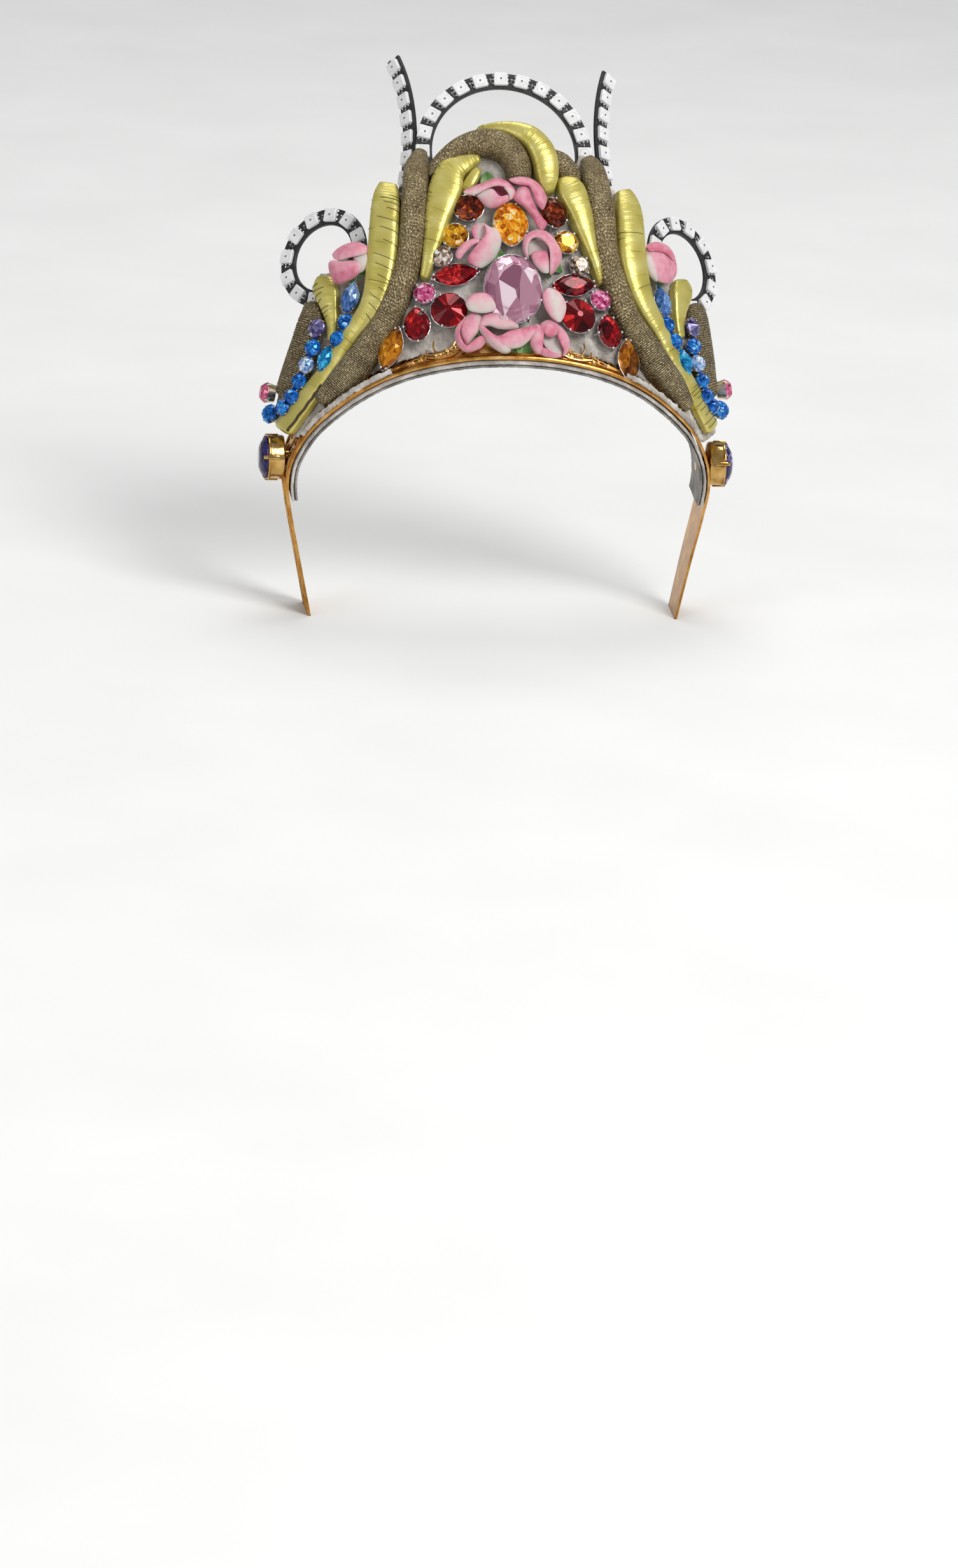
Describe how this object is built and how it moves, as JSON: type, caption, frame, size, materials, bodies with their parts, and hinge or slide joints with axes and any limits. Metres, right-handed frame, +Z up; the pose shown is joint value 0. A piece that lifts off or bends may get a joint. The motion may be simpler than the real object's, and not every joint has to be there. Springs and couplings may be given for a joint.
{
  "type": "tiara headband",
  "caption": "Jewelled crown of padded scrolls, cut stones, roses and curved lamp strips, standing on a gilt openwork band that arches over the head.",
  "frame": {"origin": "under the middle of the tiara's box, on the surface that it stands on with the two cut ends of its band", "axes": "+Z up, -Y out of the front of the crown, +X to the right as seen from the front; left and right in the node names are as seen from the front"},
  "size_m": [0.1734, 0.097, 0.1905],
  "materials": {
    "gilt_metal": "stamped openwork metal, warm gilt, polished",
    "lining": "dark cloth and pale felt in two layers",
    "felt": "pale grey felt",
    "bronze_cloth": "bronze metallic knit over padding",
    "gold_foil": "yellow-gold foil cloth gathered over padding",
    "lamp_board": "black circuit board with white square lamps",
    "rose_petal": "pink and white folded petals",
    "violet_stone": "cut glass, deep violet",
    "rose_stone": "cut glass, rose pink, in a silver cup",
    "magenta_stone": "cut glass, bright pink, in a silver cup",
    "amber_stone": "cut glass, amber, in a silver cup",
    "topaz_stone": "cut glass, brown topaz, in a silver cup",
    "yellow_stone": "cut glass, yellow, in a silver cup",
    "champagne_stone": "cut glass, champagne, in a silver cup",
    "red_stone": "cut glass, ruby red, in a silver cup",
    "blue_stone": "cut glass in blues and violet, in silver cups"
  },
  "bodies": {
    "root": {"band": "gilt_metal", "bezel_cup_left": "gilt_metal", "bezel_cup_right": "gilt_metal", "bezel_stone_left": "violet_stone", "bezel_stone_right": "violet_stone", "bronze_curl_top": "bronze_cloth", "bronze_scroll_left": "bronze_cloth", "bronze_scroll_outer_left": "bronze_cloth", "bronze_scroll_outer_right": "bronze_cloth", "bronze_scroll_right": "bronze_cloth", "bronze_tip_right": "bronze_cloth", "felt_panel": "felt", "gold_bit_top": "gold_foil", "gold_leaf_left": "gold_foil", "gold_leaf_right": "gold_foil", "gold_ribbon_top": "gold_foil", "gold_scroll_left": "gold_foil", "gold_scroll_right": "gold_foil", "gold_tip_left": "gold_foil", "gold_tip_right": "gold_foil", "lamp_arch": "lamp_board", "lamp_horn_left": "lamp_board", "lamp_horn_right": "lamp_board", "lamp_ring_left": "lamp_board", "lamp_ring_right": "lamp_board", "lining": "lining", "rose_bottom_left": "rose_petal", "rose_bottom_middle": "rose_petal", "rose_bottom_right": "rose_petal", "rose_middle_left": "rose_petal", "rose_middle_right": "rose_petal", "rose_side_left": "rose_petal", "rose_side_right": "rose_petal", "rose_top_left": "rose_petal", "rose_top_right": "rose_petal", "stone_amber_navette_left": "amber_stone", "stone_amber_navette_right": "amber_stone", "stone_amber_pear": "amber_stone", "stone_champagne_left": "champagne_stone", "stone_champagne_right": "champagne_stone", "stone_pink_oval": "rose_stone", "stone_pink_round_left": "magenta_stone", "stone_pink_round_right": "magenta_stone", "stone_red_navette_left": "red_stone", "stone_red_navette_right": "red_stone", "stone_red_pear_left": "red_stone", "stone_red_pear_right": "red_stone", "stone_red_round_left": "red_stone", "stone_red_round_right": "red_stone", "stone_row_inner_left": "blue_stone", "stone_row_inner_right": "blue_stone", "stone_row_outer_left": "blue_stone", "stone_row_outer_right": "blue_stone", "stone_side_left": "rose_stone", "stone_side_right": "rose_stone", "stone_topaz_left": "topaz_stone", "stone_topaz_right": "topaz_stone", "stone_yellow_left": "yellow_stone", "stone_yellow_right": "yellow_stone"}
  },
  "joints": []
}
